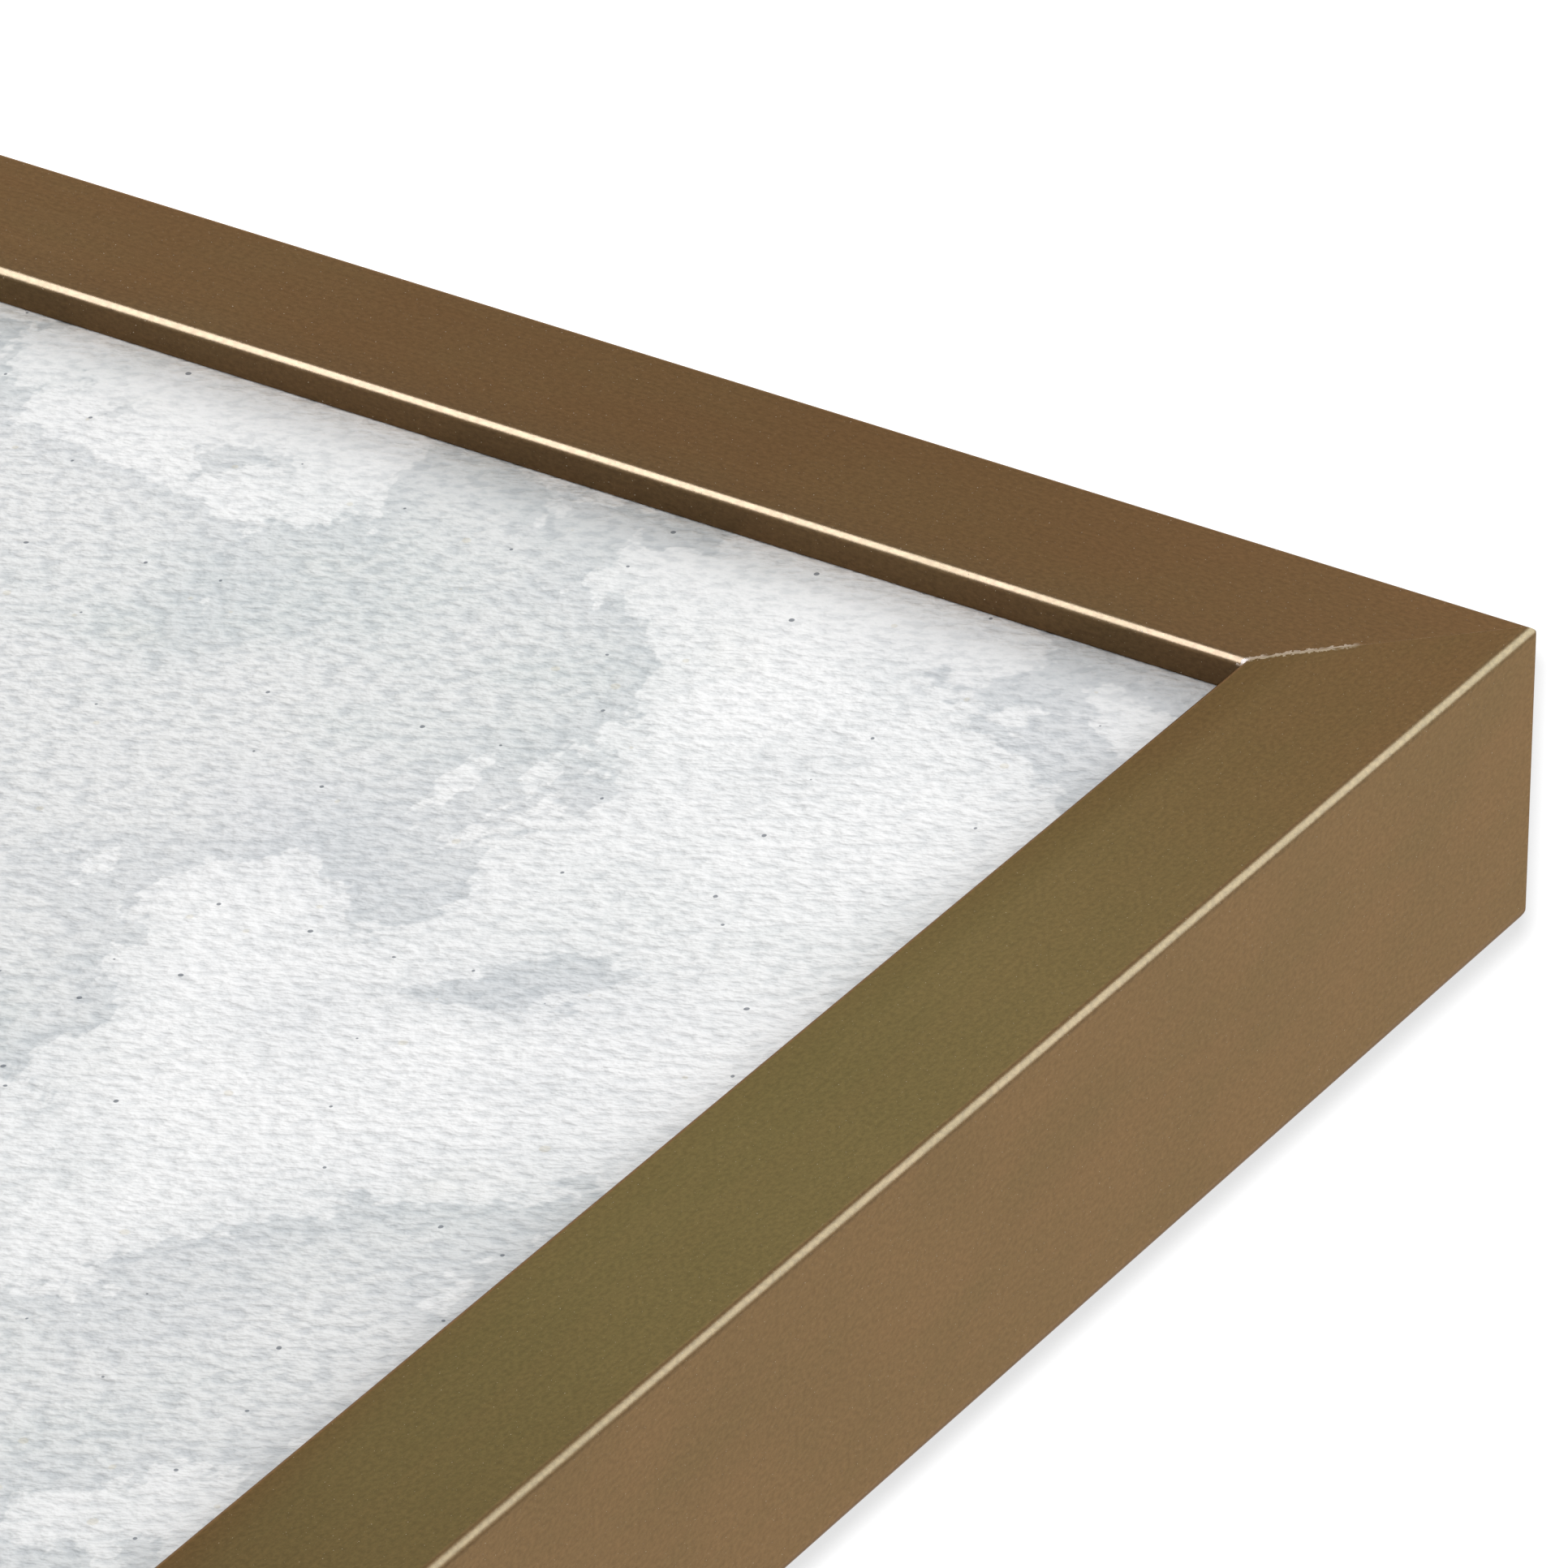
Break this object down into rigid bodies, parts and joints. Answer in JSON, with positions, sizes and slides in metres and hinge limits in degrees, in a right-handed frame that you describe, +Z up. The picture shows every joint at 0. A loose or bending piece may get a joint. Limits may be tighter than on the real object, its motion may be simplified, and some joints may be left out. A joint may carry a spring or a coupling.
{
  "type": "picture frame",
  "caption": "Deep closed-lip picture frame with an unglazed textured print, a strainer, a backing board under turn buttons, and ring hangers.",
  "frame": {"origin": "on the wall plane, midway between the two points where wall hooks hold the hanger rings", "axes": "+X to the viewer's right, +Y into the wall, +Z up"},
  "size_m": [0.444, 0.0435, 0.546],
  "materials": {
    "bronze_foil": "satin brushed bronze foil wrapped round a wood core",
    "art_paper": "matt cold-press paper with a pale grey wash",
    "mount_board": "matt smooth board",
    "hardboard": "matt, smooth brown face",
    "pine": "planed, unfinished",
    "zinc_steel": "bright zinc plate",
    "nickel_steel": "satin nickel plate",
    "brass_plate": "satin brass plate",
    "bumper_rubber": "matt dark rubber"
  },
  "bodies": {
    "frame": {"art_print": "art_paper", "backing_board": "hardboard", "button_screw_bottom_1": "zinc_steel", "button_screw_bottom_2": "zinc_steel", "button_screw_left_1": "zinc_steel", "button_screw_left_2": "zinc_steel", "button_screw_right_1": "zinc_steel", "button_screw_right_2": "zinc_steel", "button_screw_top_1": "zinc_steel", "button_screw_top_2": "zinc_steel", "hanger_screw_left_1": "zinc_steel", "hanger_screw_left_2": "zinc_steel", "hanger_screw_right_1": "zinc_steel", "hanger_screw_right_2": "zinc_steel", "hanger_strap_left": "nickel_steel", "hanger_strap_right": "nickel_steel", "mount_panel": "mount_board", "rail_bottom": "bronze_foil", "rail_left": "bronze_foil", "rail_right": "bronze_foil", "rail_top": "bronze_foil", "strainer_bottom": "pine", "strainer_left": "pine", "strainer_right": "pine", "strainer_top": "pine", "v_nail_bottom_left_1": "zinc_steel", "v_nail_bottom_left_2": "zinc_steel", "v_nail_bottom_right_1": "zinc_steel", "v_nail_bottom_right_2": "zinc_steel", "v_nail_top_left_1": "zinc_steel", "v_nail_top_left_2": "zinc_steel", "v_nail_top_right_1": "zinc_steel", "v_nail_top_right_2": "zinc_steel", "wall_bumper_left": "bumper_rubber", "wall_bumper_right": "bumper_rubber"},
    "turn_button_top_1": {"turn_button_top_1": "brass_plate"},
    "turn_button_top_2": {"turn_button_top_2": "brass_plate"},
    "turn_button_bottom_1": {"turn_button_bottom_1": "brass_plate"},
    "turn_button_bottom_2": {"turn_button_bottom_2": "brass_plate"},
    "turn_button_left_1": {"turn_button_left_1": "brass_plate"},
    "turn_button_left_2": {"turn_button_left_2": "brass_plate"},
    "turn_button_right_1": {"turn_button_right_1": "brass_plate"},
    "turn_button_right_2": {"turn_button_right_2": "brass_plate"},
    "hanger_ring_left": {"hanger_ring_left": "nickel_steel"},
    "hanger_ring_right": {"hanger_ring_right": "nickel_steel"}
  },
  "joints": [
    {"name": "turn_button_top_1_swivel", "type": "hinge", "parent": "frame", "child": "turn_button_top_1", "pos_m": [-0.095, -0.0046, 0.0815], "axis": [0, 1, 0], "range_deg": [-90, 90]},
    {"name": "turn_button_top_2_swivel", "type": "hinge", "parent": "frame", "child": "turn_button_top_2", "pos_m": [0.095, -0.0046, 0.0815], "axis": [0, 1, 0], "range_deg": [-90, 90]},
    {"name": "turn_button_bottom_1_swivel", "type": "hinge", "parent": "frame", "child": "turn_button_bottom_1", "pos_m": [0.095, -0.0046, -0.4475], "axis": [0, 1, 0], "range_deg": [-90, 90]},
    {"name": "turn_button_bottom_2_swivel", "type": "hinge", "parent": "frame", "child": "turn_button_bottom_2", "pos_m": [-0.095, -0.0046, -0.4475], "axis": [0, 1, 0], "range_deg": [-90, 90]},
    {"name": "turn_button_left_1_swivel", "type": "hinge", "parent": "frame", "child": "turn_button_left_1", "pos_m": [-0.2135, -0.0046, -0.288], "axis": [0, 1, 0], "range_deg": [-90, 90]},
    {"name": "turn_button_left_2_swivel", "type": "hinge", "parent": "frame", "child": "turn_button_left_2", "pos_m": [-0.2135, -0.0046, -0.078], "axis": [0, 1, 0], "range_deg": [-90, 90]},
    {"name": "turn_button_right_1_swivel", "type": "hinge", "parent": "frame", "child": "turn_button_right_1", "pos_m": [0.2135, -0.0046, -0.078], "axis": [0, 1, 0], "range_deg": [-90, 90]},
    {"name": "turn_button_right_2_swivel", "type": "hinge", "parent": "frame", "child": "turn_button_right_2", "pos_m": [0.2135, -0.0046, -0.288], "axis": [0, 1, 0], "range_deg": [-90, 90]},
    {"name": "hanger_ring_left_swing", "type": "hinge", "parent": "frame", "child": "hanger_ring_left", "pos_m": [-0.21325, -0.0028, -0.0109], "axis": [-1, 0, 0], "range_deg": [0, 170]},
    {"name": "hanger_ring_right_swing", "type": "hinge", "parent": "frame", "child": "hanger_ring_right", "pos_m": [0.21325, -0.0028, -0.0109], "axis": [-1, 0, 0], "range_deg": [0, 170]}
  ]
}
